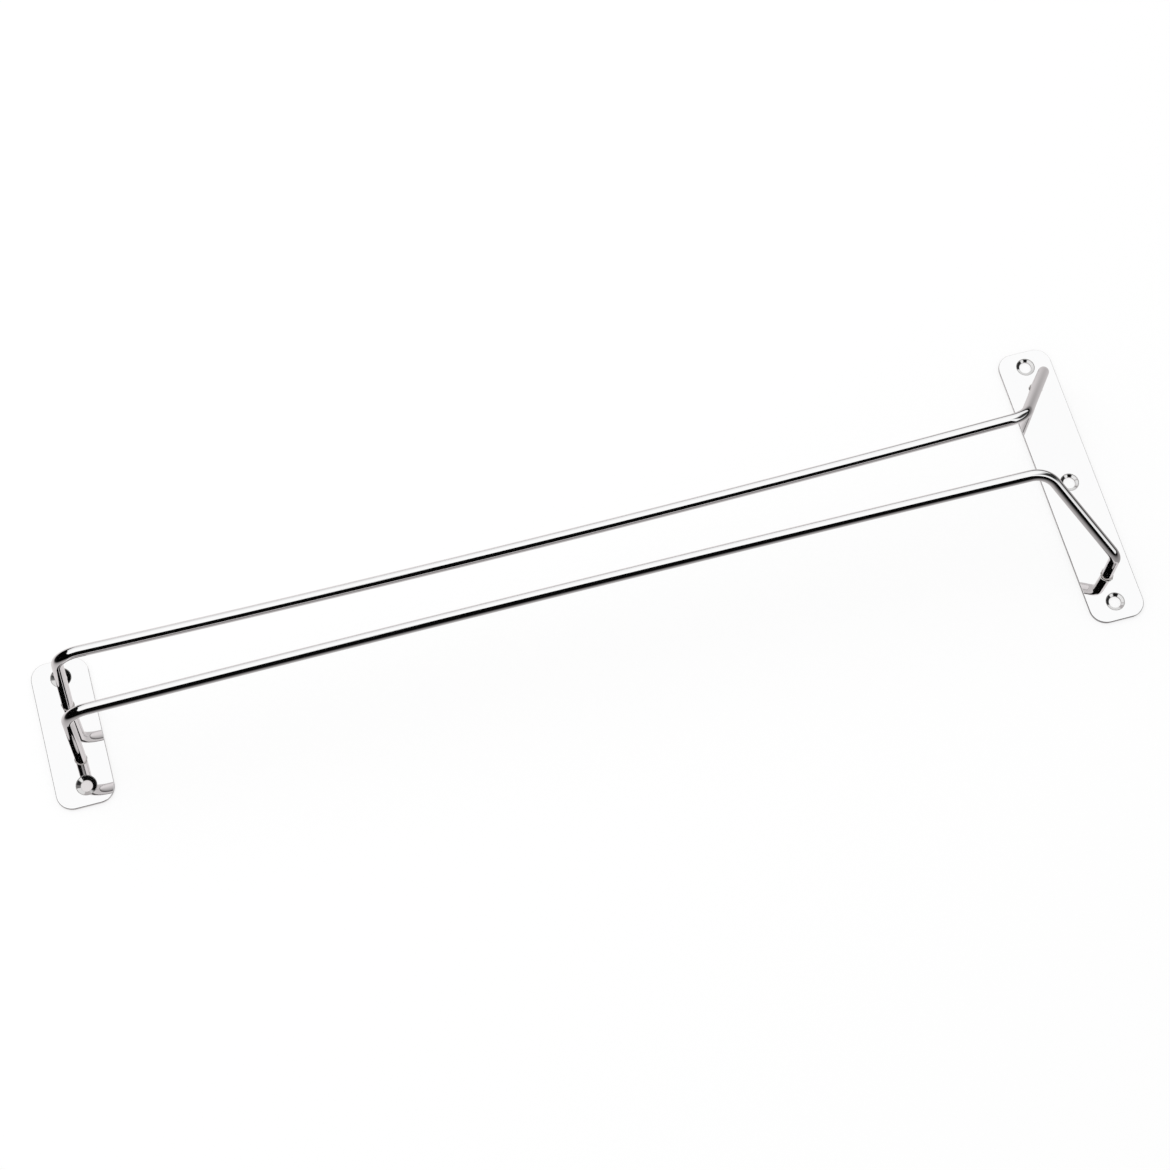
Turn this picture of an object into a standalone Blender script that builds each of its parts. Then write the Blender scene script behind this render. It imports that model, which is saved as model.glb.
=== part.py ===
"""Hanging wine glass rack with one channel: two bent wires welded to two screw plates.

The rack lies on its mounting faces with its rails on top. In use it is turned over and screwed
under a shelf, and glasses hang by their feet from the two rails. Metres, +Z up. +X runs from
the closed end to the mouth, and the left wire is the one at +Y.
"""

import math

import bmesh
import bpy
from mathutils import Matrix, Vector

PART_NAME = "hanging_wine_glass_rack"
LEFT = 1
RIGHT = -1

# Whole rack: the length is measured over the outer edges of the two plates
OVERALL_LENGTH = 0.4064

# Plates: width runs along the rails, length across them
PLATE_THICKNESS = 0.0012
PLATE_WIDTH = 0.0211
SMALL_PLATE_LENGTH = 0.0574
WIDE_PLATE_LENGTH = 0.1154
PLATE_CORNER_RADIUS = 0.0061
PLATE_EDGE_ROUNDING = 0.0004
MOST_ROUNDING_SHARE = 0.45

# Countersunk screw holes: a margin runs from the plate's end to the hole's centre, and the
# small plate's holes are shifted from its middle line towards the mouth, clear of the legs
SCREW_HOLE_DIAMETER = 0.0043
COUNTERSINK_DIAMETER = 0.0077
COUNTERSINK_DEPTH = 0.0009
SMALL_PLATE_HOLE_MARGIN = 0.0077
SMALL_PLATE_HOLE_SHIFT = 0.0008
WIDE_PLATE_HOLE_MARGIN = 0.0069
WIDE_HOLE_SHARES = (-1, 0, 1)
CUT_OVERRUN = 0.002

# Wires: the channel is the clear gap between the rails at the closed end. It widens towards the
# mouth, and each rail bows inwards and towards the plates at the middle of its span
WIRE_DIAMETER = 0.0042
CHANNEL_WIDTH = 0.0173
CHANNEL_WIDENING = 0.0016
RAIL_HEIGHT = 0.0484
RAIL_DRAW_IN = 0.0013
RAIL_CAMBER = 0.0016

# Closed end: each leg leans towards the mouth by this much over its height
CLOSED_LEG_LEAN = 0.0037
CLOSED_BEND_RADIUS = 0.008

# Mouth: the arms flare out and slope down to short legs, which stand on the wide plate a little
# beyond its middle line, and both arms end slightly to the left
MOUTH_DEPTH = 0.0233
MOUTH_FOOT_MARGIN = 0.0173
MOUTH_FOOT_OFFSET = 0.0006
MOUTH_TIP_HEIGHT = 0.018
MOUTH_LEG_SPLAY = 0.0005
MOUTH_SIDE_SHIFT = 0.0009
MOUTH_BEND_RADIUS = 0.011
MOUTH_TIP_BEND_RADIUS = 0.007

# Weld collars round the wires' feet
WELD_REACH = 0.0005
WELD_LIP = 0.0003
WELD_HEIGHT = 0.001

# Clearance between a foot, its weld and the plate
SEAT_GAP = 0.0003

# Finishes: bright chrome on the plates and wires, and duller chrome over the weld collars
PLATE_COLOUR = (0.86, 0.86, 0.87)
WIRE_COLOUR = (0.80, 0.80, 0.81)
WELD_COLOUR = (0.55, 0.54, 0.53)
PLATE_ROUGHNESS = 0.08
WIRE_ROUGHNESS = 0.06
WELD_ROUGHNESS = 0.3

# Smoothness of the round shapes
WIRE_BEVEL_RESOLUTION = 10
BEND_STEPS = 10
RAIL_STEPS = 16
CORNER_STEPS = 10
TURN_STEPS = 40
WELD_STEPS = 5
EDGE_SEGMENTS = 3
SMOOTH_ANGLE = math.radians(35)
MERGE_DISTANCE = 0.000001

# Sizes that follow from those above
WIRE_RADIUS = WIRE_DIAMETER / 2
SMALL_PLATE_X = (PLATE_WIDTH - OVERALL_LENGTH) / 2
WIDE_PLATE_X = (OVERALL_LENGTH - PLATE_WIDTH) / 2
CLOSED_RAIL_Y = (CHANNEL_WIDTH + WIRE_DIAMETER) / 2
MOUTH_RAIL_Y = CLOSED_RAIL_Y + CHANNEL_WIDENING / 2
MOUTH_FOOT_Y = WIDE_PLATE_LENGTH / 2 - MOUTH_FOOT_MARGIN
FOOT_Z = PLATE_THICKNESS + SEAT_GAP


def clear_scene():
    for old in list(bpy.data.objects):
        bpy.data.objects.remove(old, do_unlink=True)


def new_collection(name, helpers=False):
    collection = bpy.data.collections.new(name)
    collection.hide_render = helpers
    bpy.context.scene.collection.children.link(collection)
    return collection


def metal(name, colour, roughness):
    material = bpy.data.materials.new(name)
    material.use_nodes = True
    shader = material.node_tree.nodes["Principled BSDF"]
    shader.inputs["Base Color"].default_value = (*colour, 1)
    shader.inputs["Metallic"].default_value = 1
    shader.inputs["Roughness"].default_value = roughness
    return material


def add_object(name, data, collection, parent=None, place=(0, 0, 0)):
    made = bpy.data.objects.new(name, data)
    made.location = place
    made.parent = parent
    collection.objects.link(made)
    return made


def mesh_from_curve(curve_object, collection, parent=None):
    """The curve's evaluated shape as a mesh object of the same name, with its caps welded on."""
    bpy.context.view_layer.update()
    graph = bpy.context.evaluated_depsgraph_get()
    mesh = bpy.data.meshes.new_from_object(curve_object.evaluated_get(graph))
    name = curve_object.name
    world = curve_object.matrix_world.copy()
    bpy.data.objects.remove(curve_object, do_unlink=True)
    weld_mesh(mesh)
    made = add_object(name, mesh, collection, parent)
    made.matrix_world = world
    return made


def weld_mesh(mesh):
    work = bmesh.new()
    work.from_mesh(mesh)
    bmesh.ops.remove_doubles(work, verts=work.verts, dist=MERGE_DISTANCE)
    bmesh.ops.recalc_face_normals(work, faces=work.faces)
    work.to_mesh(mesh)
    work.free()


def smooth(mesh):
    mesh.shade_smooth()
    mesh.set_sharp_from_angle(angle=SMOOTH_ANGLE)


def cut(target, cutter):
    boolean = target.modifiers.new("cut_" + cutter.name, "BOOLEAN")
    boolean.operation = "DIFFERENCE"
    boolean.solver = "EXACT"
    boolean.object = cutter


def turned(name, profile, collection, place=(0, 0, 0)):
    """A solid turned about Z from (radius, height) points that run from its top to its bottom."""
    mesh = bpy.data.meshes.new(name)
    points = [(radius, 0, height) for radius, height in profile]
    edges = [(i, i + 1) for i in range(len(points) - 1)]
    mesh.from_pydata(points, edges, [])
    made = add_object(name, mesh, collection, place=place)
    screw = made.modifiers.new("turn", "SCREW")
    screw.axis = "Z"
    screw.steps = TURN_STEPS
    screw.render_steps = TURN_STEPS
    screw.use_merge_vertices = True
    screw.merge_threshold = MERGE_DISTANCE
    screw.use_smooth_shade = True
    return made


def rounded_rectangle(width, length, radius):
    """Corner arcs of a plate's outline, anticlockwise, as points in the plane of the plate."""
    radius = min(radius, width / 2, length / 2)
    centres = (
        (width / 2 - radius, length / 2 - radius),
        (radius - width / 2, length / 2 - radius),
        (radius - width / 2, radius - length / 2),
        (width / 2 - radius, radius - length / 2),
    )
    points = []
    for quarter, (x, y) in enumerate(centres):
        for step in range(CORNER_STEPS + 1):
            angle = math.pi / 2 * (quarter + step / CORNER_STEPS)
            points.append((x + radius * math.cos(angle), y + radius * math.sin(angle), 0))
    return points


def poly_curve(name, points, closed):
    curve = bpy.data.curves.new(name, "CURVE")
    spline = curve.splines.new("POLY")
    spline.points.add(len(points) - 1)
    for target, point in zip(spline.points, points):
        target.co = (*point, 1)
    spline.use_cyclic_u = closed
    return curve


def make_plate(name, centre_x, length, holes, material, parts, cutters, parent):
    """A flat plate on the mounting plane, with an edge rounding and countersunk holes."""
    outline = rounded_rectangle(PLATE_WIDTH, length, PLATE_CORNER_RADIUS)
    curve = poly_curve(name, outline, closed=True)
    curve.dimensions = "2D"
    curve.fill_mode = "BOTH"
    curve.extrude = PLATE_THICKNESS / 2
    flat = add_object(name, curve, parts, place=(centre_x, 0, PLATE_THICKNESS / 2))
    plate = mesh_from_curve(flat, parts, parent)
    plate.data.materials.append(material)
    rounding = plate.modifiers.new("edge_rounding", "BEVEL")
    rounding.width = min(PLATE_EDGE_ROUNDING, PLATE_THICKNESS * MOST_ROUNDING_SHARE)
    rounding.segments = EDGE_SEGMENTS
    rounding.limit_method = "ANGLE"
    for number, (shift, y) in enumerate(holes, start=1):
        cutter = make_hole_cutter(f"{name}_hole_{number}_cutter", cutters)
        cutter.location = (centre_x + shift, y, 0)
        cut(plate, cutter)
    return plate


def make_hole_cutter(name, cutters):
    """A countersunk screw's shape: a straight bore under a cone that opens at the top face."""
    bore = SCREW_HOLE_DIAMETER / 2
    rim = COUNTERSINK_DIAMETER / 2
    depth = min(COUNTERSINK_DEPTH, PLATE_THICKNESS)
    profile = (
        (0, PLATE_THICKNESS + CUT_OVERRUN),
        (rim, PLATE_THICKNESS + CUT_OVERRUN),
        (rim, PLATE_THICKNESS),
        (bore, PLATE_THICKNESS - depth),
        (bore, -CUT_OVERRUN),
        (0, -CUT_OVERRUN),
    )
    return as_helper(turned(name, profile, cutters))


def as_helper(made):
    made.hide_render = True
    made.display_type = "WIRE"
    return made


def bend(before, corner, after, radius):
    """Points along the arc that rounds a corner, from the leg before it to the leg after it."""
    back = before - corner
    ahead = after - corner
    opening = back.angle(ahead)
    turn = math.pi - opening
    tangent = min(radius * math.tan(turn / 2), back.length / 2, ahead.length / 2)
    true_radius = tangent / math.tan(turn / 2)
    middle = (back.normalized() + ahead.normalized()).normalized()
    centre = corner + middle * true_radius / math.sin(opening / 2)
    start = corner + back.normalized() * tangent - centre
    finish = corner + ahead.normalized() * tangent - centre
    axis = start.cross(finish)
    return [
        centre + Matrix.Rotation(turn * step / BEND_STEPS, 3, axis) @ start
        for step in range(BEND_STEPS + 1)
    ]


def closed_leg(side):
    """Foot and corner of the leg at the closed end."""
    foot = Vector((SMALL_PLATE_X, side * CLOSED_RAIL_Y, PLATE_THICKNESS))
    corner = Vector((SMALL_PLATE_X + CLOSED_LEG_LEAN, side * CLOSED_RAIL_Y, RAIL_HEIGHT))
    return foot, corner


def mouth_leg(side):
    """Foot and tip of the short leg at the mouth."""
    leg_x = WIDE_PLATE_X + MOUTH_FOOT_OFFSET
    foot_y = side * MOUTH_FOOT_Y + MOUTH_SIDE_SHIFT
    tip_y = foot_y - side * MOUTH_LEG_SPLAY
    foot = Vector((leg_x, foot_y, PLATE_THICKNESS))
    tip = Vector((leg_x, tip_y, MOUTH_TIP_HEIGHT))
    return foot, tip


def below_seat(foot, upper):
    """The leg's centre line carried on below its seat, so that a flat cut can trim its foot."""
    return foot + (foot - upper).normalized() * CUT_OVERRUN


def rail_points(start, finish, side):
    """The rail between its two bends, bowed inwards and towards the plates along its span."""
    points = []
    for step in range(1, RAIL_STEPS):
        share = step / RAIL_STEPS
        point = start.lerp(finish, share)
        bow_share = 4 * share * (1 - share)
        point.y -= side * RAIL_DRAW_IN * bow_share
        point.z -= RAIL_CAMBER * bow_share
        points.append(point)
    return points


def wire_path(side):
    closed_foot, closed_corner = closed_leg(side)
    mouth_foot, mouth_tip = mouth_leg(side)
    mouth_corner = Vector((WIDE_PLATE_X - MOUTH_DEPTH, side * MOUTH_RAIL_Y, RAIL_HEIGHT))
    closed_bend = bend(closed_foot, closed_corner, mouth_corner, CLOSED_BEND_RADIUS)
    mouth_bend = bend(closed_corner, mouth_corner, mouth_tip, MOUTH_BEND_RADIUS)
    tip_bend = bend(mouth_corner, mouth_tip, mouth_foot, MOUTH_TIP_BEND_RADIUS)
    return (
        [below_seat(closed_foot, closed_corner)]
        + closed_bend
        + rail_points(closed_bend[-1], mouth_bend[0], side)
        + mouth_bend
        + tip_bend
        + [below_seat(mouth_foot, mouth_tip)]
    )


def make_wire(name, side, material, parts, parent, foot_trim):
    """One bent wire, with both feet cut flat just clear of the plates that they stand on."""
    curve = poly_curve(name, wire_path(side), closed=False)
    curve.dimensions = "3D"
    curve.twist_mode = "MINIMUM"
    curve.bevel_depth = WIRE_RADIUS
    curve.bevel_resolution = WIRE_BEVEL_RESOLUTION
    curve.use_fill_caps = True
    wire = mesh_from_curve(add_object(name, curve, parts), parts, parent)
    wire.data.materials.append(material)
    smooth(wire.data)
    cut(wire, foot_trim)
    return wire


def make_foot_trim(cutters):
    """A block that fills everything below the height where the wires' feet end."""
    mesh = bpy.data.meshes.new("foot_trim_cutter")
    work = bmesh.new()
    bmesh.ops.create_cube(work, size=1)
    size = Vector((OVERALL_LENGTH, WIDE_PLATE_LENGTH, FOOT_Z + 2 * CUT_OVERRUN))
    bmesh.ops.scale(work, vec=size, verts=work.verts)
    bmesh.ops.translate(work, vec=(0, 0, FOOT_Z - size.z / 2), verts=work.verts)
    work.to_mesh(mesh)
    work.free()
    return as_helper(add_object("foot_trim_cutter", mesh, cutters))


def make_wire_bore(name, foot, upper, cutters):
    """A rod along a leg, wider than the wire by the seat gap, that opens a weld for it."""
    radius = WIRE_RADIUS + SEAT_GAP
    reach = WELD_HEIGHT + SEAT_GAP + CUT_OVERRUN
    profile = ((0, reach), (radius, reach), (radius, -reach), (0, -reach))
    rod = turned(name, profile, cutters)
    rod.rotation_mode = "QUATERNION"
    rod.rotation_quaternion = (upper - foot).to_track_quat("Z", "Y")
    rod.location = foot
    return as_helper(rod)


def make_weld(name, foot, upper, material, parts, cutters, parent):
    """A low collar with a hollow flank, from the wire's side down to the face of the plate."""
    inner = WIRE_RADIUS + SEAT_GAP + WELD_LIP
    flank = [(0, WELD_HEIGHT)]
    for step in range(WELD_STEPS + 1):
        angle = math.pi / 2 * step / WELD_STEPS
        radius = inner + WELD_REACH * (1 - math.cos(angle))
        flank.append((radius, WELD_HEIGHT * (1 - math.sin(angle))))
    flank.append((0, 0))
    weld = turned(name, flank, parts, place=(foot.x, foot.y, FOOT_Z))
    weld.parent = parent
    weld.data.materials.append(material)
    cut(weld, make_wire_bore(name + "_bore_cutter", foot, upper, cutters))
    return weld


def build():
    clear_scene()
    parts = new_collection(PART_NAME)
    cutters = new_collection("cutters", helpers=True)
    rack = add_object("rack", None, parts)

    small_hole_y = SMALL_PLATE_LENGTH / 2 - SMALL_PLATE_HOLE_MARGIN
    wide_hole_y = WIDE_PLATE_LENGTH / 2 - WIDE_PLATE_HOLE_MARGIN
    small_holes = [(SMALL_PLATE_HOLE_SHIFT, side * small_hole_y) for side in (RIGHT, LEFT)]
    wide_holes = [(0, share * wide_hole_y) for share in WIDE_HOLE_SHARES]
    plates = (
        ("small_plate", SMALL_PLATE_X, SMALL_PLATE_LENGTH, small_holes),
        ("wide_plate", WIDE_PLATE_X, WIDE_PLATE_LENGTH, wide_holes),
    )
    for name, centre_x, length, holes in plates:
        finish = metal(name + "_chrome", PLATE_COLOUR, PLATE_ROUGHNESS)
        make_plate(name, centre_x, length, holes, finish, parts, cutters, rack)

    foot_trim = make_foot_trim(cutters)
    for word, side in (("left", LEFT), ("right", RIGHT)):
        name = word + "_rail_wire"
        finish = metal(name + "_chrome", WIRE_COLOUR, WIRE_ROUGHNESS)
        make_wire(name, side, finish, parts, rack, foot_trim)
        for plate, leg in (("small_plate", closed_leg), ("wide_plate", mouth_leg)):
            foot, upper = leg(side)
            name = f"{plate}_{word}_weld"
            finish = metal(name + "_metal", WELD_COLOUR, WELD_ROUGHNESS)
            make_weld(name, foot, upper, finish, parts, cutters, rack)


build()
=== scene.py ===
"""Hanging wine glass rack: chrome finish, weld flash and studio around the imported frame.

Metres, +Z up. The rack lies on its plates as in the photograph, with its rails on top. +X runs from
the closed end to the mouth, and the left wire is the one at +Y.
"""

import math

import bpy
from mathutils import Matrix, Vector, noise
from mathutils.geometry import tessellate_polygon


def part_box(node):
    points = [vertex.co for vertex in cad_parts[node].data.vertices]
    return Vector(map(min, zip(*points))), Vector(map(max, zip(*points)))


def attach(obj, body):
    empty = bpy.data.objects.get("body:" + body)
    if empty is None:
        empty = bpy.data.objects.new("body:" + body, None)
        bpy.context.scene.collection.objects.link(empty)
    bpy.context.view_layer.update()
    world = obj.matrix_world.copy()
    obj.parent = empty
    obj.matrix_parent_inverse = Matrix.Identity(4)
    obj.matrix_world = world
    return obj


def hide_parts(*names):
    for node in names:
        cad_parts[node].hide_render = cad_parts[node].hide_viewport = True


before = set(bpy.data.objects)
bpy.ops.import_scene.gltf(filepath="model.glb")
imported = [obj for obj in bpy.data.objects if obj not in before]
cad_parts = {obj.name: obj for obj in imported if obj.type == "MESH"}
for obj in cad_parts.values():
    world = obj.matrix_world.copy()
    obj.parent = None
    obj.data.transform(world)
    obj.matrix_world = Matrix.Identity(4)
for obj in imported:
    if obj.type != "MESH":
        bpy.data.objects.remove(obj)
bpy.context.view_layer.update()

LEFT = 1
RIGHT = -1
MM = 0.001

# Plates, from the frame and the real object's screw holes
SMALL_LOW, SMALL_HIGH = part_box("small_plate")
WIDE_LOW, WIDE_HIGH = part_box("wide_plate")
PLATE_THICKNESS = SMALL_HIGH.z
SMALL_PLATE_X = (SMALL_LOW.x + SMALL_HIGH.x) / 2
WIDE_PLATE_X = (WIDE_LOW.x + WIDE_HIGH.x) / 2
PLATE_CORNER_RADIUS = 6.1 * MM
PLATE_EDGE_ROUNDING = 0.25 * MM
CORNER_STEPS = 24
LIP_STEPS = 6

# Screw holes. A margin runs from the plate's end to the hole, and a shift from its middle line
SCREW_HOLE_RADIUS = {"small_plate": 2.15 * MM, "wide_plate": 2.3 * MM}
COUNTERSINK_RADIUS = {"small_plate": 3.85 * MM, "wide_plate": 3.62 * MM}
COUNTERSINK_DEPTH = {"small_plate": 0.9 * MM, "wide_plate": 0.62 * MM}
SMALL_PLATE_HOLE_MARGIN = {LEFT: 6.9 * MM, RIGHT: 7.7 * MM}
SMALL_PLATE_HOLE_SHIFT = {LEFT: 0.2 * MM, RIGHT: 0.8 * MM}
WIDE_PLATE_HOLE_MARGIN = 6.9 * MM
WIDE_PLATE_HOLE_SIDE_SHIFT = 0.4 * MM
HOLE_LIP = 0.1 * MM
HOLE_STEPS = 96

# The countersink's worn rim, darkened by painted shade, the stretch over which its wear and painted
# shade fade, and how dull its faces are
RIM_WEAR_AND_SHADE_WIDTH = 0.24 * MM
RIM_FADE_WIDTH = 0.06 * MM
RIM_DULLNESS_AND_SHADE = 2
CONE_DULLNESS = 1

# The polished faces lean a little, as their mirror images of the wires show. Each lean is the
# tilt of the face's normal at the plate's middle and its change per metre towards +Y
SMALL_PLATE_LEAN = (Vector((0.038, -0.03, 0)), Vector((0, 0, 0)))
WIDE_PLATE_LEAN = (Vector((-0.01, 0, 0)), Vector((-0.25, 0, 0)))

# Wires. An offset is how far a foot or corner stands from its plate's middle line, towards the mouth
CLOSED_FOOT_OFFSET = {LEFT: 0.55 * MM, RIGHT: 0.95 * MM}
CLOSED_CORNER_OFFSET = {LEFT: 3.05 * MM, RIGHT: 2.05 * MM}
WIRE_RADIUS = 2.1 * MM
CLOSED_RAIL_Y = 10.75 * MM
MOUTH_RAIL_Y = 11.55 * MM
RAIL_HEIGHT = 48.4 * MM
RAIL_DRAW_IN = 1.3 * MM
RAIL_CAMBER = 1.6 * MM
CLOSED_BEND_RADIUS = 8 * MM
MOUTH_DEPTH = 23.3 * MM
MOUTH_FOOT_Y = 40.4 * MM
MOUTH_FOOT_OFFSET = 0.6 * MM
MOUTH_TIP_HEIGHT = 18 * MM
MOUTH_LEG_SPLAY = 0.5 * MM
MOUTH_SIDE_SHIFT = 0.9 * MM
MOUTH_BEND_RADIUS = 11 * MM
MOUTH_TIP_BEND_RADIUS = 7 * MM
FOOT_SINK = 0.1 * MM
WIRE_SHARP_ANGLE = math.radians(50)
WIRE_SIDES = 72
BEND_STEPS = 32
RAIL_STEPS = 96
LEG_STEPS = 12

# Weld flash: a collar with a hollow flank that reaches unevenly over the plate. Noise makes a slow
# wobble round it and a finer ripple, and each collar takes its noise further along by the seed step
WELD_HEIGHT = 0.8 * MM
WELD_REACH = {"small_plate": 0.3 * MM, "wide_plate": 0.55 * MM}
WELD_UNEVENNESS = {"small_plate": 0.25 * MM, "wide_plate": 0.5 * MM}
WELD_BITE = 0.3 * MM
WOBBLE_SCALE = 1.4
WOBBLE_RISE_SHARE = 0.5
RIPPLE_SCALE = 4.5
RIPPLE_SHARE = 0.35
WELD_SEED_STEP = 7.3
WELD_SHARP_ANGLE = math.radians(60)
WELD_STEPS = 12
WELD_SIDES = 96

# Camera, from the plates' corners, holes and wires in the photograph. The sensor and the focal length
# are in millimetres
SENSOR_WIDTH = 36
FOCAL_LENGTH = 82.1
CAMERA_AZIMUTH = math.radians(-20.328)
CAMERA_ELEVATION = math.radians(67.498)
CAMERA_ROLL = math.radians(4.919)
CAMERA_DISTANCE = 0.996221
CAMERA_TARGET = Vector((0.002652, 0.007923, 0))


def bend(before, corner, after, radius):
    """Points along the arc that rounds a corner, from the leg before it to the leg after it."""
    back = before - corner
    ahead = after - corner
    opening = back.angle(ahead)
    turn = math.pi - opening
    tangent = min(radius * math.tan(turn / 2), back.length / 2, ahead.length / 2)
    true_radius = tangent / math.tan(turn / 2)
    middle = (back.normalized() + ahead.normalized()).normalized()
    centre = corner + middle * true_radius / math.sin(opening / 2)
    start = corner + back.normalized() * tangent - centre
    finish = corner + ahead.normalized() * tangent - centre
    axis = start.cross(finish)
    return [
        centre + Matrix.Rotation(turn * step / BEND_STEPS, 3, axis) @ start
        for step in range(BEND_STEPS + 1)
    ]


def between(start, finish, steps):
    """Evenly spaced points inside a straight stretch, without its ends."""
    return [start.lerp(finish, step / steps) for step in range(1, steps)]


def circle(count):
    """Flat unit vectors all round, anticlockwise from +X."""
    turns = [math.tau * step / count for step in range(count)]
    return [Vector((math.cos(turn), math.sin(turn))) for turn in turns]


def closed_leg(side):
    """Foot and upper corner of a wire's leg at the closed end."""
    foot_x = SMALL_PLATE_X + CLOSED_FOOT_OFFSET[side]
    corner_x = SMALL_PLATE_X + CLOSED_CORNER_OFFSET[side]
    foot = Vector((foot_x, side * CLOSED_RAIL_Y, PLATE_THICKNESS))
    corner = Vector((corner_x, side * CLOSED_RAIL_Y, RAIL_HEIGHT))
    return foot, corner


def mouth_leg(side):
    """Foot and tip of a wire's short leg at the mouth."""
    leg_x = WIDE_PLATE_X + MOUTH_FOOT_OFFSET
    foot_y = side * MOUTH_FOOT_Y + MOUTH_SIDE_SHIFT
    tip_y = foot_y - side * MOUTH_LEG_SPLAY
    foot = Vector((leg_x, foot_y, PLATE_THICKNESS))
    tip = Vector((leg_x, tip_y, MOUTH_TIP_HEIGHT))
    return foot, tip


def sunk(foot, upper):
    """The leg's end a little inside the plate, where the weld holds it."""
    return foot + (foot - upper).normalized() * FOOT_SINK


def wire_path(side):
    """The wire's centre line: closed leg, bowed rail, sloping arm and mouth leg."""
    closed_foot, closed_corner = closed_leg(side)
    mouth_foot, mouth_tip = mouth_leg(side)
    mouth_corner = Vector((WIDE_PLATE_X - MOUTH_DEPTH, side * MOUTH_RAIL_Y, RAIL_HEIGHT))
    closed_bend = bend(closed_foot, closed_corner, mouth_corner, CLOSED_BEND_RADIUS)
    mouth_bend = bend(closed_corner, mouth_corner, mouth_tip, MOUTH_BEND_RADIUS)
    tip_bend = bend(mouth_corner, mouth_tip, mouth_foot, MOUTH_TIP_BEND_RADIUS)
    start = sunk(closed_foot, closed_corner)
    finish = sunk(mouth_foot, mouth_tip)
    rail = between(closed_bend[-1], mouth_bend[0], RAIL_STEPS)
    for step, point in enumerate(rail, start=1):
        share = step / RAIL_STEPS
        bow_share = 4 * share * (1 - share)
        point.y -= side * RAIL_DRAW_IN * bow_share
        point.z -= RAIL_CAMBER * bow_share
    return (
        [start]
        + between(start, closed_bend[0], LEG_STEPS)
        + closed_bend
        + rail
        + mouth_bend
        + between(mouth_bend[-1], tip_bend[0], LEG_STEPS)
        + tip_bend
        + between(tip_bend[-1], finish, LEG_STEPS)
        + [finish]
    )


def new_piece(name, mesh, node):
    """An object for the mesh that stands for one node of the frame."""
    piece = bpy.data.objects.new(name, mesh)
    bpy.context.scene.collection.objects.link(piece)
    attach(piece, "root")
    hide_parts(node)


def wire_mesh(name, path):
    """A closed round wire on the path, with a map of its length and its turn in metres."""
    ahead = (path[1] - path[0]).normalized()
    across = ahead.orthogonal().normalized()
    vertices = []
    lengths = [0]
    for i, point in enumerate(path):
        if i:
            lengths.append(lengths[-1] + (point - path[i - 1]).length)
        ahead = (path[min(i + 1, len(path) - 1)] - path[max(i - 1, 0)]).normalized()
        across = (across - ahead * across.dot(ahead)).normalized()
        other = ahead.cross(across)
        for side in range(WIRE_SIDES):
            angle = math.tau * side / WIRE_SIDES
            spoke = across * math.cos(angle) + other * math.sin(angle)
            vertices.append(point + spoke * WIRE_RADIUS)
    faces = []
    maps = []
    girth = math.tau * WIRE_RADIUS
    for i in range(len(path) - 1):
        for side in range(WIRE_SIDES):
            after = (side + 1) % WIRE_SIDES
            here, there = i * WIRE_SIDES, (i + 1) * WIRE_SIDES
            faces.append((here + side, here + after, there + after, there + side))
            low, high = girth * side / WIRE_SIDES, girth * (side + 1) / WIRE_SIDES
            near, far = lengths[i], lengths[i + 1]
            maps += [(near, low), (near, high), (far, high), (far, low)]
    faces.append(tuple(reversed(range(WIRE_SIDES))))
    faces.append(tuple(range(len(vertices) - WIRE_SIDES, len(vertices))))
    maps += [(0, 0)] * WIRE_SIDES + [(lengths[-1], 0)] * WIRE_SIDES
    mesh = bpy.data.meshes.new(name)
    mesh.from_pydata(vertices, [], faces)
    layer = mesh.uv_layers.new(name="wire_map")
    for target, place in zip(layer.data, maps):
        target.uv = place
    mesh.shade_smooth()
    mesh.set_sharp_from_angle(angle=WIRE_SHARP_ANGLE)
    return mesh


def arc_angles(start, end):
    """Evenly spaced angles along the arc of a lip or rim, with both ends."""
    return [start + (end - start) * step / LIP_STEPS for step in range(LIP_STEPS + 1)]


class PlateMesh:
    """Collects a plate's vertices, ring by ring, with their normals, wear and dullness, both of which
    also carry painted shade.
    """

    def __init__(self):
        self.vertices = []
        self.normals = []
        self.wear_and_shade = []
        self.dullness_and_shade = []
        self.faces = []

    def ring(self, places, outward, tilt, height, wear_and_shade, dullness_and_shade=0):
        """A closed ring of points. Its normals are the flat outward vectors, tilted towards +Z."""
        first = len(self.vertices)
        for place, spoke in zip(places, outward):
            self.vertices.append(Vector((place.x, place.y, height)))
            flat = spoke * math.cos(tilt)
            self.normals.append(Vector((flat.x, flat.y, math.sin(tilt))))
            self.wear_and_shade.append(wear_and_shade)
            self.dullness_and_shade.append(dullness_and_shade)
        return list(range(first, len(self.vertices)))

    def bridge(self, first, second):
        """Faces between two rings, facing away from their middle where the first is the lower one."""
        count = len(first)
        for i in range(count):
            j = (i + 1) % count
            self.faces.append((first[i], first[j], second[j], second[i]))

    def fill(self, loops, upwards):
        """Triangles over a flat face with holes, seen from above or from below."""
        order = [index for loop in loops for index in loop]
        flat = [[Vector(self.vertices[i]) for i in loop] for loop in loops]
        for triangle in tessellate_polygon(flat):
            a, b, c = (order[i] for i in triangle)
            corner, first, second = self.vertices[a], self.vertices[b], self.vertices[c]
            rises = (first - corner).cross(second - corner).z > 0
            self.faces.append((a, b, c) if rises == upwards else (a, c, b))


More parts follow.
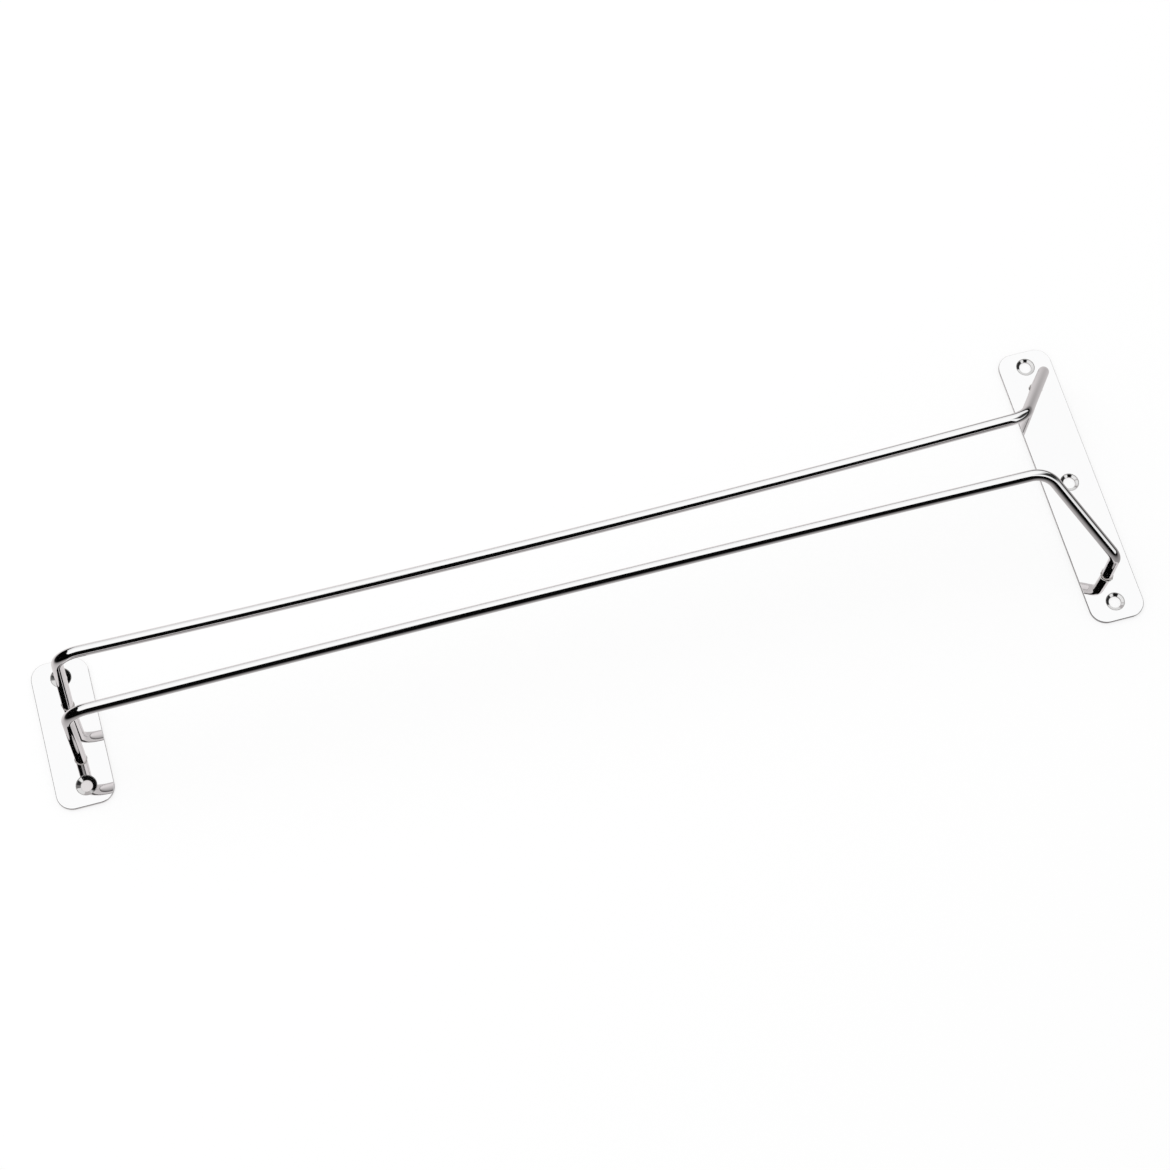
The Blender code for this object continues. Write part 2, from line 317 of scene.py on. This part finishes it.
def outline(centre_x, length, width):
    """The plate's corner centres and outward directions, anticlockwise from above."""
    inner_x = width / 2 - PLATE_CORNER_RADIUS
    inner_y = length / 2 - PLATE_CORNER_RADIUS
    corners = ((inner_x, inner_y), (-inner_x, inner_y), (-inner_x, -inner_y), (inner_x, -inner_y))
    centres = []
    spokes = []
    for quarter, (x, y) in enumerate(corners):
        for step in range(CORNER_STEPS + 1):
            angle = math.pi / 2 * (quarter + step / CORNER_STEPS)
            centres.append(Vector((centre_x + x, y)))
            spokes.append(Vector((math.cos(angle), math.sin(angle))))
    return centres, spokes


def add_edge(plate, centres, spokes):
    """The rounded edge, from the rim of the lower face to the rim of the upper one."""
    rounding = PLATE_EDGE_ROUNDING
    rings = []
    for start, end, level in (
        (-math.pi / 2, 0, rounding),
        (0, math.pi / 2, PLATE_THICKNESS - rounding),
    ):
        for tilt in arc_angles(start, end):
            reach = PLATE_CORNER_RADIUS - rounding * (1 - math.cos(tilt))
            places = [centre + spoke * reach for centre, spoke in zip(centres, spokes)]
            height = level + rounding * math.sin(tilt)
            # The edge's wear, highest on its side, also sets the painted shade there
            rings.append(plate.ring(places, spokes, tilt, height, math.cos(tilt)))
    for lower, upper in zip(rings, rings[1:]):
        plate.bridge(lower, upper)
    return rings[0], rings[-1]


def add_hole(plate, node, centre):
    """A countersunk hole: worn rim with painted shade, cone, waist, straight bore and lower lip."""
    bore = SCREW_HOLE_RADIUS[node]
    countersink = COUNTERSINK_RADIUS[node]
    depth = COUNTERSINK_DEPTH[node]
    spokes = circle(HOLE_STEPS)
    slope = math.atan2(depth, countersink - bore)
    cone_tilt = math.pi / 2 + slope
    waist = PLATE_THICKNESS - depth
    lip_run = HOLE_LIP * math.tan(slope / 2)
    waist_run = HOLE_LIP * math.tan((math.pi / 2 - slope) / 2)
    rings = []

    def add(radius, height, tilt, wear_and_shade=0, dullness_and_shade=0):
        places = [centre + spoke * radius for spoke in spokes]
        rings.append(plate.ring(places, spokes, tilt, height, wear_and_shade, dullness_and_shade))

    top_radius = countersink + lip_run
    for step, tilt in enumerate(arc_angles(math.pi / 2, cone_tilt)):
        # The first ring still belongs to the flat face
        worn_and_shaded = min(step, 1)
        rim_radius = top_radius + HOLE_LIP * math.cos(tilt)
        rim_height = PLATE_THICKNESS + HOLE_LIP * (math.sin(tilt) - 1)
        # The lip's other rings are worn and darkened by painted shade
        add(rim_radius, rim_height, tilt, worn_and_shaded, worn_and_shaded * RIM_DULLNESS_AND_SHADE)
    for inward, wear_and_shade, dullness_and_shade in (
        (RIM_WEAR_AND_SHADE_WIDTH, 1, RIM_DULLNESS_AND_SHADE),
        (RIM_WEAR_AND_SHADE_WIDTH + RIM_FADE_WIDTH, 0, CONE_DULLNESS),
    ):
        height = rim_height - inward * math.tan(slope)
        add(rim_radius - inward, height, cone_tilt, wear_and_shade, dullness_and_shade)
    bore_lip_radius = bore + HOLE_LIP
    waist_height = waist - waist_run
    for tilt in arc_angles(cone_tilt, math.pi):
        radius = bore_lip_radius + HOLE_LIP * math.cos(tilt)
        add(radius, waist_height + HOLE_LIP * math.sin(tilt), tilt, dullness_and_shade=CONE_DULLNESS)
    for tilt in arc_angles(math.pi, math.pi * 1.5):
        radius = bore_lip_radius + HOLE_LIP * math.cos(tilt)
        add(radius, HOLE_LIP + HOLE_LIP * math.sin(tilt), tilt)
    for upper, lower in zip(rings, rings[1:]):
        plate.bridge(upper, lower)
    return rings[0], rings[-1]


def plate_mesh(node, low, high, holes, lean):
    """A flat plate with a rounded edge and countersunk holes. The lean tilts its normals."""
    plate = PlateMesh()
    centre_x = (low.x + high.x) / 2
    centres, spokes = outline(centre_x, high.y - low.y, high.x - low.x)
    bottom_rim, top_rim = add_edge(plate, centres, spokes)
    top_loops, bottom_loops = [top_rim], [bottom_rim]
    for shift, y in holes:
        top, bottom = add_hole(plate, node, Vector((centre_x + shift, y)))
        top_loops.append(top)
        bottom_loops.append(bottom)
    plate.fill(top_loops, upwards=True)
    plate.fill(bottom_loops, upwards=False)
    mesh = bpy.data.meshes.new(node + "_sheet")
    mesh.from_pydata(plate.vertices, [], plate.faces)
    mesh.shade_smooth()
    normals = []
    for place, normal in zip(plate.vertices, plate.normals):
        tilted = Vector((0, 0, 1)) + lean[0] + lean[1] * place.y
        normals.append(Vector((0, 0, 1)).rotation_difference(tilted) @ normal)
    mesh.normals_split_custom_set_from_vertices(normals)
    for title, values in (("edge_wear_and_shade", plate.wear_and_shade), ("dullness_and_shade", plate.dullness_and_shade)):
        layer = mesh.attributes.new(title, "FLOAT", "POINT")
        layer.data.foreach_set("value", values)
    return mesh


def weld_mesh(name, foot, upper, plate, seed):
    """Weld flash round a foot: a hollow fillet whose reach over the plate is uneven."""
    lean = (upper - foot).normalized()
    spokes = [spoke.to_3d() for spoke in circle(WELD_SIDES)]
    flanks = []
    for spoke in spokes:
        wobble = noise.noise(spoke * WOBBLE_SCALE + Vector((seed, 0, 0)))
        ripple = noise.noise(spoke * RIPPLE_SCALE + Vector((0, seed, 0)))
        reach = WELD_REACH[plate] + WELD_UNEVENNESS[plate] * (wobble + RIPPLE_SHARE * ripple)
        flanks.append((spoke, reach, WELD_HEIGHT * (1 + WOBBLE_RISE_SHARE * wobble)))
    vertices = []
    rings = []

    def add_ring(places):
        rings.append(range(len(vertices), len(vertices) + WELD_SIDES))
        vertices.extend(places)

    for step in range(WELD_STEPS + 1):
        angle = math.pi / 2 * step / WELD_STEPS
        places = []
        for spoke, reach, rise in flanks:
            height = rise * (1 - math.sin(angle))
            middle = foot + lean * height
            radius = WIRE_RADIUS + reach * (1 - math.cos(angle))
            places.append(Vector((middle.x, middle.y, foot.z + height)) + spoke * radius)
        add_ring(places)
    # The collar's rim dips into the plate, and its inner wall stands inside the wire
    add_ring([Vector((place.x, place.y, foot.z - FOOT_SINK)) for place in places])
    for height in (-FOOT_SINK, WELD_HEIGHT / 2):
        middle = Vector((foot.x, foot.y, foot.z + height))
        add_ring([middle + spoke * (WIRE_RADIUS - WELD_BITE) for spoke in spokes])
    rings.append(rings[0])
    faces = []
    for first, second in zip(rings, rings[1:]):
        for i in range(WELD_SIDES):
            j = (i + 1) % WELD_SIDES
            faces.append((first[i], second[i], second[j], first[j]))
    mesh = bpy.data.meshes.new(name)
    mesh.from_pydata(vertices, [], faces)
    mesh.shade_smooth()
    mesh.set_sharp_from_angle(angle=WELD_SHARP_ANGLE)
    return mesh


class Nodes:
    """Shorthand for building one node tree. A value is a number, a colour or another socket."""

    def __init__(self, tree):
        self.tree = tree
        self.tree.nodes.clear()

    def add(self, kind, **values):
        node = self.tree.nodes.new(kind)
        for name, value in values.items():
            setattr(node, name, value)
        return node

    def feed(self, socket, value):
        if isinstance(value, bpy.types.NodeSocket):
            self.tree.links.new(value, socket)
        elif socket.type == "RGBA":
            socket.default_value = (*value, 1)
        else:
            socket.default_value = value

    def math(self, operation, *values):
        """The operation on one or two values, or on more of them from left to right."""
        node = self.add("ShaderNodeMath", operation=operation)
        for socket, value in zip(node.inputs, values[:2]):
            self.feed(socket, value)
        result = node.outputs["Value"]
        return self.math(operation, result, *values[2:]) if values[2:] else result

    def remap(self, value, span, target, smooth=False):
        """The value's place in the span, carried over to the target span and held at its ends."""
        node = self.add("ShaderNodeMapRange")
        node.interpolation_type = "SMOOTHSTEP" if smooth else "LINEAR"
        names = ("Value", "From Min", "From Max", "To Min", "To Max")
        for name, number in zip(names, (value, *span, *target)):
            self.feed(node.inputs[name], number)
        return node.outputs["Result"]

    def curve(self, value, points):
        """The broken line through the points, which are pairs of a value and its height."""
        low, high = points[0][0], points[-1][0]
        peak = max(height for place, height in points)
        node = self.add("ShaderNodeValToRGB")
        stops = node.color_ramp.elements
        stops.remove(stops[1])
        for number, (place, height) in enumerate(points):
            share = (place - low) / (high - low)
            stop = stops.new(share) if number else stops[0]
            stop.color = (height / peak, height / peak, height / peak, 1)
        self.feed(node.inputs["Fac"], self.remap(value, (low, high), (0, 1)))
        return self.math("MULTIPLY", node.outputs["Color"], peak)

    def axes(self, vector):
        node = self.add("ShaderNodeSeparateXYZ")
        self.feed(node.inputs["Vector"], vector)
        return [node.outputs[axis] for axis in "XYZ"]

    def distance(self, place, centre):
        node = self.add("ShaderNodeVectorMath", operation="DISTANCE")
        self.feed(node.inputs[0], place)
        self.feed(node.inputs[1], centre)
        return node.outputs["Value"]

    def noise(self, vector, scale, detail, rough=0.5):
        node = self.add("ShaderNodeTexNoise")
        names = ("Vector", "Scale", "Detail", "Roughness")
        for name, value in zip(names, (vector, scale, detail, rough)):
            self.feed(node.inputs[name], value)
        return node.outputs["Fac"]

    def stretch(self, vector, scale, turn=0):
        """The vector turned about Z and scaled along each axis."""
        node = self.add("ShaderNodeMapping")
        for name, value in (("Vector", vector), ("Scale", scale), ("Rotation", (0, 0, turn))):
            self.feed(node.inputs[name], value)
        return node.outputs["Vector"]

    def tone(self, factor, low, high):
        """A colour between two others."""
        node = self.add("ShaderNodeMix", data_type="RGBA")
        self.feed(node.inputs["Factor"], factor)
        colours = [socket for socket in node.inputs if socket.type == "RGBA"]
        self.feed(colours[0], low)
        self.feed(colours[1], high)
        return next(socket for socket in node.outputs if socket.type == "RGBA")

    def bump(self, height, strength, distance, normal=None):
        node = self.add("ShaderNodeBump")
        for name, value in (("Height", height), ("Strength", strength), ("Distance", distance)):
            self.feed(node.inputs[name], value)
        if normal:
            self.feed(node.inputs["Normal"], normal)
        return node.outputs["Normal"]

    def light(self, kind, colour, strength=1):
        """An emission or background shader."""
        node = self.add(kind)
        self.feed(node.inputs["Color"], colour)
        self.feed(node.inputs["Strength"], strength)
        return node.outputs[0]

    def blend(self, factor, first, second):
        """A shader between two others."""
        node = self.add("ShaderNodeMixShader")
        for socket, value in zip(node.inputs, (factor, first, second)):
            self.feed(socket, value)
        return node.outputs["Shader"]

    def by_ray(self, plain, mirrored, seen):
        """One shader for soft light, one for what metal mirrors and one for what the camera sees."""
        path = self.add("ShaderNodeLightPath").outputs
        in_metal = self.math("MAXIMUM", path["Is Glossy Ray"], path["Is Transmission Ray"])
        return self.blend(path["Is Camera Ray"], self.blend(in_metal, plain, mirrored), seen)


def metal_material(name):
    """A new metallic material, its node tree and its shader's inputs."""
    material = bpy.data.materials.new(name)
    material.use_nodes = True
    nodes = Nodes(material.node_tree)
    shader = nodes.add("ShaderNodeBsdfPrincipled")
    nodes.feed(shader.inputs["Metallic"], 1)
    output = nodes.add("ShaderNodeOutputMaterial")
    nodes.feed(output.inputs["Surface"], shader.outputs["BSDF"])
    return material, nodes, shader.inputs


# Chrome. A span of noise is the part of its range that tells. Most of a noise lies in the first one,
# and a stretch draws it out into lines
NOISE_SPAN = (0.3, 0.7)

# Wire, with a burnt tint that fades out above the feet
HAZY_WIRE = (0.95, 0.95, 0.955)
CLEAN_WIRE = (0.975, 0.975, 0.978)
LINE_STRETCH = (60, 2600, 1)
LINE_ROUGHNESS = (0.012, 0.04)
HAZE_SPAN = (0.4, 0.75)
HAZE_ROUGHNESS = (0, 0.03)
BURNT_WIRE = (0.62, 0.58, 0.55)
BURNT_HEIGHTS = (PLATE_THICKNESS + 0.6 * MM, PLATE_THICKNESS + 3 * MM)
BURNT_SHARES = (0.2, 1)
BURNT_ROUGHNESS = 0.16


def wire_chrome():
    """Bright chrome on drawn wire: faint lines along it, fine haze, and a dull tint at the feet."""
    material, nodes, surface = metal_material("wire_chrome")
    mapped = nodes.add("ShaderNodeUVMap", uv_map="wire_map").outputs["UV"]
    place = nodes.add("ShaderNodeTexCoord").outputs["Object"]
    height = nodes.axes(place)[2]
    lines = nodes.noise(nodes.stretch(mapped, LINE_STRETCH), scale=1, detail=3)
    haze = nodes.noise(place, scale=260, detail=4, rough=0.6)
    foot = nodes.remap(height, BURNT_HEIGHTS, (1, 0), smooth=True)
    burn = nodes.math("MULTIPLY", foot, nodes.remap(haze, NOISE_SPAN, BURNT_SHARES))
    rough = nodes.math(
        "ADD",
        nodes.remap(lines, NOISE_SPAN, LINE_ROUGHNESS),
        nodes.remap(haze, HAZE_SPAN, HAZE_ROUGHNESS),
        nodes.math("MULTIPLY", burn, BURNT_ROUGHNESS),
    )
    nodes.feed(surface["Roughness"], rough)
    clean = nodes.tone(haze, HAZY_WIRE, CLEAN_WIRE)
    nodes.feed(surface["Base Color"], nodes.tone(burn, clean, BURNT_WIRE))
    nodes.feed(surface["Normal"], nodes.bump(lines, strength=0.05, distance=0.002 * MM))
    return material


# Plates, with hairline scratches that cross each other
BRIGHT_PLATE = (0.965, 0.965, 0.968)
DULL_AND_SHADED_PLATE = (0.6, 0.59, 0.58)
CLOUD_ROUGHNESS = (0.01, 0.03)
HAIR_STRETCH = (900, 30, 1)
HAIR_TURN = 0.5
HAIR_SPAN = (0.66, 0.74)
CROSSING_STRETCH = (40, 1100, 1)
CROSSING_TURN = -0.3
CROSSING_SPAN = (0.68, 0.75)
SCRATCH_ROUGHNESS = 0.05
WEAR_SPAN = (0.35, 0.65)
WEAR_SHARES = (0.3, 1)
WEAR_ROUGHNESS = 0.04
EDGE_SPAN = (0.75, 1)
EDGE_ROUGHNESS = 0.25
# The edge tint is wear and painted shade on the plate's rounded edge
EDGE_TINT = 0.3
DULLNESS_ROUGHNESS = 0.07
# The dullness tint is the real dullness of the countersinks' cones and painted shade on their rims
DULLNESS_AND_SHADE_TINT = 0.5


def plate_chrome():
    """Bright chrome on polished sheet: hairline scratches, faint clouds, worn edges and dull holes,
    with painted shade on the edges and the countersinks' rims.
    """
    material, nodes, surface = metal_material("plate_chrome")
    place = nodes.add("ShaderNodeTexCoord").outputs["Object"]
    clouds = nodes.noise(place, scale=90, detail=3)
    hairs = nodes.noise(nodes.stretch(place, HAIR_STRETCH, HAIR_TURN), scale=1, detail=2)
    crossing = nodes.noise(nodes.stretch(place, CROSSING_STRETCH, CROSSING_TURN), scale=1, detail=2)
    scratches = nodes.math(
        "MAXIMUM",
        nodes.remap(hairs, HAIR_SPAN, (0, 1)),
        nodes.remap(crossing, CROSSING_SPAN, (0, 1)),
    )
    wear_and_shade = nodes.add("ShaderNodeAttribute", attribute_name="edge_wear_and_shade").outputs["Fac"]
    dullness_and_shade = nodes.add("ShaderNodeAttribute", attribute_name="dullness_and_shade").outputs["Fac"]
    patchy_wear = nodes.math("MULTIPLY", wear_and_shade, nodes.remap(clouds, WEAR_SPAN, WEAR_SHARES))
    edge = nodes.remap(wear_and_shade, EDGE_SPAN, (0, 1), smooth=True)
    rough = nodes.math(
        "ADD",
        nodes.remap(clouds, NOISE_SPAN, CLOUD_ROUGHNESS),
        nodes.math("MULTIPLY", scratches, SCRATCH_ROUGHNESS),
        nodes.math("MULTIPLY", patchy_wear, WEAR_ROUGHNESS),
        nodes.math("MULTIPLY", edge, EDGE_ROUGHNESS),
        nodes.math("MULTIPLY", dullness_and_shade, DULLNESS_ROUGHNESS),
    )
    nodes.feed(surface["Roughness"], rough)
    # Painted shade: the edge and the countersinks' rims are tinted darker, along with the edge's wear
    # and the cones' dullness
    edge_tint = nodes.math("MULTIPLY", edge, EDGE_TINT)
    tint = nodes.math("MAXIMUM", edge_tint, nodes.math("MULTIPLY", dullness_and_shade, DULLNESS_AND_SHADE_TINT))
    nodes.feed(surface["Base Color"], nodes.tone(tint, BRIGHT_PLATE, DULL_AND_SHADED_PLATE))
    nodes.feed(surface["Normal"], nodes.bump(scratches, strength=0.04, distance=0.001 * MM))
    return material


# Weld flash
BROWN_WELD = (0.62, 0.59, 0.56)
BRIGHT_WELD = (0.9, 0.9, 0.9)
WELD_ROUGHNESS = (0.28, 0.08)


def weld_metal():
    """Chrome over weld flash: rippled, blotchy and a little brown."""
    material, nodes, surface = metal_material("weld_metal")
    place = nodes.add("ShaderNodeTexCoord").outputs["Object"]
    blotches = nodes.noise(place, scale=900, detail=4, rough=0.6)
    grains = nodes.noise(place, scale=4200, detail=3, rough=0.6)
    nodes.feed(surface["Base Color"], nodes.tone(blotches, BROWN_WELD, BRIGHT_WELD))
    nodes.feed(surface["Roughness"], nodes.remap(blotches, NOISE_SPAN, WELD_ROUGHNESS))
    lumps = nodes.bump(blotches, strength=0.4, distance=0.05 * MM)
    nodes.feed(surface["Normal"], nodes.bump(grains, strength=0.25, distance=0.01 * MM, normal=lumps))
    return material


def add_camera():
    """The photograph's camera."""
    azimuth, elevation, roll = CAMERA_AZIMUTH, CAMERA_ELEVATION, CAMERA_ROLL
    back = Vector((
        math.sin(azimuth) * math.cos(elevation),
        -math.cos(azimuth) * math.cos(elevation),
        math.sin(elevation),
    ))
    level = Vector((0, 0, 1)).cross(back).normalized()
    upright = back.cross(level)
    right = level * math.cos(roll) + upright * math.sin(roll)
    up = upright * math.cos(roll) - level * math.sin(roll)
    place = CAMERA_TARGET + back * CAMERA_DISTANCE
    turned = Matrix((right, up, back)).transposed().to_4x4()
    camera = bpy.data.cameras.new("photo_camera")
    camera.sensor_width = SENSOR_WIDTH
    camera.sensor_fit = "HORIZONTAL"
    camera.lens = FOCAL_LENGTH
    camera.dof.use_dof = False
    holder = bpy.data.objects.new("photo_camera", camera)
    holder.matrix_world = Matrix.Translation(place) @ turned
    bpy.context.scene.collection.objects.link(holder)
    bpy.context.scene.camera = holder


WHITE = (1, 1, 1)

# The paper floor, which lies just under the plates and reaches this far from the middle
FLOOR_REACH = 3
FLOOR_DROP = 0.02 * MM
MATT_PAPER = (0.97, 0.97, 0.97)
# What the camera sees of it glows more with the distance from the middle, up to plain white
GLOW_DISTANCES = (0.4, 1.6)
GLOW_SHARES = (0.7, 1)
# Painted shade: a darker dot on the paper, which shows in the small plate's near screw hole
BORE_PAINTED_SHADE = (0.68, 0.64, 0.64)
# Painted light on the paper, as chrome mirrors it: a share along X in metres, and a level along Y
PAPER_ALONG = (
    (-0.4, 0.01),
    (-0.34, 0.06),
    (-0.31, 0.3),
    (-0.27, 0.75),
    (-0.24, 0.95),
    (-0.2, 1),
    (0.15, 1),
    (0.22, 0.7),
    (0.33, 0.35),
    (0.45, 0.23),
)
PAPER_ACROSS = (
    (-1.5, 0.025),
    (-0.5, 0.055),
    (-0.25, 0.1),
    (-0.12, 0.19),
    (-0.05, 0.39),
    (0, 0.62),
    (0.03, 0.75),
    (1, 0.7),
)
MIRRORED_TINT = (1, 0.95, 0.95)


def seen_paper(nodes, place, matt):
    """The paper as the camera sees it: white, with a soft shadow near the rack and a dot of painted
    shade under the small plate's near screw hole.
    """
    hole_x = SMALL_PLATE_X + SMALL_PLATE_HOLE_SHIFT[RIGHT]
    hole_y = SMALL_LOW.y + SMALL_PLATE_HOLE_MARGIN[RIGHT]
    rim = (SCREW_HOLE_RADIUS["small_plate"], COUNTERSINK_RADIUS["small_plate"])
    in_hole = nodes.remap(nodes.distance(place, (hole_x, hole_y, 0)), rim, (1, 0))
    # Painted shade in the near screw hole
    white = nodes.light("ShaderNodeEmission", nodes.tone(in_hole, WHITE, BORE_PAINTED_SHADE))
    away = nodes.distance(place, (0, 0, 0))
    return nodes.blend(nodes.remap(away, GLOW_DISTANCES, GLOW_SHARES, smooth=True), matt, white)


def mirrored_paper(nodes, place):
    """The paper as chrome mirrors it: a painted pool of light, light grey in the middle and darker
    away from it.
    """
    x, y = nodes.axes(place)[:2]
    level = nodes.math("MULTIPLY", nodes.curve(x, PAPER_ALONG), nodes.curve(y, PAPER_ACROSS))
    return nodes.light("ShaderNodeEmission", MIRRORED_TINT, level)


def add_floor():
    """A sheet of studio paper under the rack."""
    reach = FLOOR_REACH
    corners = [(-reach, -reach, 0), (reach, -reach, 0), (reach, reach, 0), (-reach, reach, 0)]
    mesh = bpy.data.meshes.new("studio_floor")
    mesh.from_pydata(corners, [], [(0, 1, 2, 3)])
    floor = bpy.data.objects.new("studio_floor", mesh)
    floor.location.z = -FLOOR_DROP
    bpy.context.scene.collection.objects.link(floor)
    material = bpy.data.materials.new("studio_paper")
    material.use_nodes = True
    nodes = Nodes(material.node_tree)
    place = nodes.add("ShaderNodeTexCoord").outputs["Object"]
    diffuse = nodes.add("ShaderNodeBsdfDiffuse")
    nodes.feed(diffuse.inputs["Color"], MATT_PAPER)
    matt = diffuse.outputs["BSDF"]
    paper = nodes.by_ray(matt, mirrored_paper(nodes, place), seen_paper(nodes, place, matt))
    output = nodes.add("ShaderNodeOutputMaterial")
    nodes.feed(output.inputs["Surface"], paper)
    mesh.materials.append(material)


# What chrome mirrors of the studio depends on the direction alone. Azimuth 0 is -Y and 90 is +X
DARK_LEVEL = 0.002
DARK_EDGE_SOFTNESS = 2
# Top of the dark side, as (azimuth, elevation) in degrees round the rack
DARK_SIDE_TOP = (
    (-180, 0),
    (-165, 14),
    (-150, 24),
    (-135, 42),
    (-120, 48),
    (-60, 50),
    (-45, 60),
    (-20, 70),
    (18, 74),
    (24, 84),
    (27, 84),
    (33, 8),
    (160, 8),
    (180, 0),
)
# The same in second reflections, where the dark side is a band with light below it
DARK_BAND_TOP = (
    (-180, 0),
    (-140, 0),
    (-130, 80),
    (-60, 80),
    (-20, 74),
    (18, 74),
    (24, 84),
    (30, 84),
    (36, 0),
    (180, 0),
)
DARK_BAND_BOTTOM = (50, 56)
# A dark patch on the bright side. Its middle line drops by the slant for each degree of azimuth, from
# the height that it would have at 0, and it fades out at these degrees from its middle
PATCH_LEVEL = 0.03
PATCH_AZIMUTH = 86
PATCH_SLANT = 0.52
PATCH_HEIGHT = 73.5
PATCH_SIDE_FADE = (26, 32)
PATCH_RISE_FADE = (10, 34)
# The studio is dimmer near the floor, and most towards the closed end. The span is the direction's x
DIM_ELEVATIONS = (0, 60)
DIM_SPAN = (-0.5, 0.5)
DIM_LEVELS = (0.55, 0.85)
SECOND_DIM_ELEVATIONS = (30, 70)
SECOND_DIM_LEVELS = (0.56, 0.7)
# Soft light of the room on what isn't chrome
ROOM_LIGHT = (0.8, 0.8, 0.8)


def over_dark(nodes, azimuth, elevation, top):
    """Light above the top of a dark side, and the dark level below it."""
    above = nodes.math("SUBTRACT", elevation, nodes.curve(azimuth, top))
    edge = (-DARK_EDGE_SOFTNESS, DARK_EDGE_SOFTNESS)
    return nodes.remap(above, edge, (DARK_LEVEL, 1), smooth=True)


def first_reflection(nodes, x, azimuth, elevation):
    """How bright the studio is where chrome mirrors it directly."""
    light = over_dark(nodes, azimuth, elevation, DARK_SIDE_TOP)
    aside = nodes.math("ABSOLUTE", nodes.math("SUBTRACT", azimuth, PATCH_AZIMUTH))
    slanted = nodes.math("ADD", elevation, nodes.math("MULTIPLY", azimuth, PATCH_SLANT))
    off_line = nodes.math("ABSOLUTE", nodes.math("SUBTRACT", slanted, PATCH_HEIGHT))
    around_patch = nodes.math(
        "MAXIMUM",
        nodes.remap(aside, PATCH_SIDE_FADE, (0, 1), smooth=True),
        nodes.remap(off_line, PATCH_RISE_FADE, (0, 1), smooth=True),
    )
    patched = nodes.remap(around_patch, (0, 1), (PATCH_LEVEL, 1))
    low_light = nodes.remap(x, DIM_SPAN, DIM_LEVELS, smooth=True)
    dimmed = nodes.remap(elevation, DIM_ELEVATIONS, (low_light, 1), smooth=True)
    return nodes.math("MULTIPLY", light, patched, dimmed)


def second_reflection(nodes, azimuth, elevation):
    """How bright the studio is where chrome mirrors other chrome."""
    under_band = nodes.remap(elevation, DARK_BAND_BOTTOM, (1, DARK_LEVEL), smooth=True)
    over_band = over_dark(nodes, azimuth, elevation, DARK_BAND_TOP)
    light = nodes.math("MAXIMUM", under_band, over_band)
    dimmed = nodes.remap(elevation, SECOND_DIM_ELEVATIONS, SECOND_DIM_LEVELS, smooth=True)
    return nodes.math("MULTIPLY", light, dimmed)


def add_world():
    """White studio with a dark side towards the left and the camera, which chrome mirrors as black."""
    world = bpy.data.worlds.new("studio")
    bpy.context.scene.world = world
    world.use_nodes = True
    nodes = Nodes(world.node_tree)
    x, y, z = nodes.axes(nodes.add("ShaderNodeTexCoord").outputs["Generated"])
    azimuth = nodes.math("DEGREES", nodes.math("ARCTAN2", x, nodes.math("MULTIPLY", y, -1)))
    elevation = nodes.math("DEGREES", nodes.math("ARCSINE", z))
    once = first_reflection(nodes, x, azimuth, elevation)
    again = second_reflection(nodes, azimuth, elevation)
    depth = nodes.add("ShaderNodeLightPath").outputs["Glossy Depth"]
    second = nodes.remap(depth, (1, 2), (0, 1))
    tint = nodes.tone(second, WHITE, MIRRORED_TINT)
    level = nodes.remap(second, (0, 1), (once, again))
    room = nodes.light("ShaderNodeBackground", ROOM_LIGHT)
    mirrored = nodes.light("ShaderNodeBackground", tint, level)
    white = nodes.light("ShaderNodeBackground", WHITE)
    output = nodes.add("ShaderNodeOutputWorld")
    nodes.feed(output.inputs["Surface"], nodes.by_ray(room, mirrored, white))


LAMP_PLACE = Vector((-0.35, 0.5, 1.1))
LAMP_SIZE = 1.2
LAMP_POWER = 6


def add_lamp():
    """One wide soft lamp above and behind the rack, which chrome doesn't mirror."""
    lamp = bpy.data.lights.new("soft_lamp", "AREA")
    lamp.shape = "SQUARE"
    lamp.size = LAMP_SIZE
    lamp.energy = LAMP_POWER
    holder = bpy.data.objects.new("soft_lamp", lamp)
    holder.location = LAMP_PLACE
    holder.rotation_euler = (-LAMP_PLACE).to_track_quat("-Z", "Y").to_euler()
    holder.visible_glossy = False
    bpy.context.scene.collection.objects.link(holder)


def build_pieces():
    """The eight pieces of the rack, each in place of its node."""
    plate_finish = plate_chrome()
    wire_finish = wire_chrome()
    weld_finish = weld_metal()
    wide_hole_y = WIDE_HIGH.y - WIDE_PLATE_HOLE_MARGIN
    small_holes = [
        (SMALL_PLATE_HOLE_SHIFT[side], side * (SMALL_HIGH.y - SMALL_PLATE_HOLE_MARGIN[side]))
        for side in (RIGHT, LEFT)
    ]
    wide_holes = [(0, share * wide_hole_y + WIDE_PLATE_HOLE_SIDE_SHIFT) for share in (-1, 0, 1)]
    for node, low, high, holes, lean in (
        ("small_plate", SMALL_LOW, SMALL_HIGH, small_holes, SMALL_PLATE_LEAN),
        ("wide_plate", WIDE_LOW, WIDE_HIGH, wide_holes, WIDE_PLATE_LEAN),
    ):
        mesh = plate_mesh(node, low, high, holes, lean)
        mesh.materials.append(plate_finish)
        new_piece(node + "_sheet", mesh, node)
    seed = 0
    for word, side in (("left", LEFT), ("right", RIGHT)):
        mesh = wire_mesh(word + "_rail_rod", wire_path(side))
        mesh.materials.append(wire_finish)
        new_piece(word + "_rail_rod", mesh, word + "_rail_wire")
        for plate, leg in (("small_plate", closed_leg), ("wide_plate", mouth_leg)):
            foot, upper = leg(side)
            seed += WELD_SEED_STEP
            mesh = weld_mesh(f"{plate}_{word}_flash", foot, upper, plate, seed)
            mesh.materials.append(weld_finish)
            new_piece(f"{plate}_{word}_flash", mesh, f"{plate}_{word}_weld")


build_pieces()
add_floor()
add_world()
add_lamp()
add_camera()
bpy.context.scene.view_settings.view_transform = "Standard"
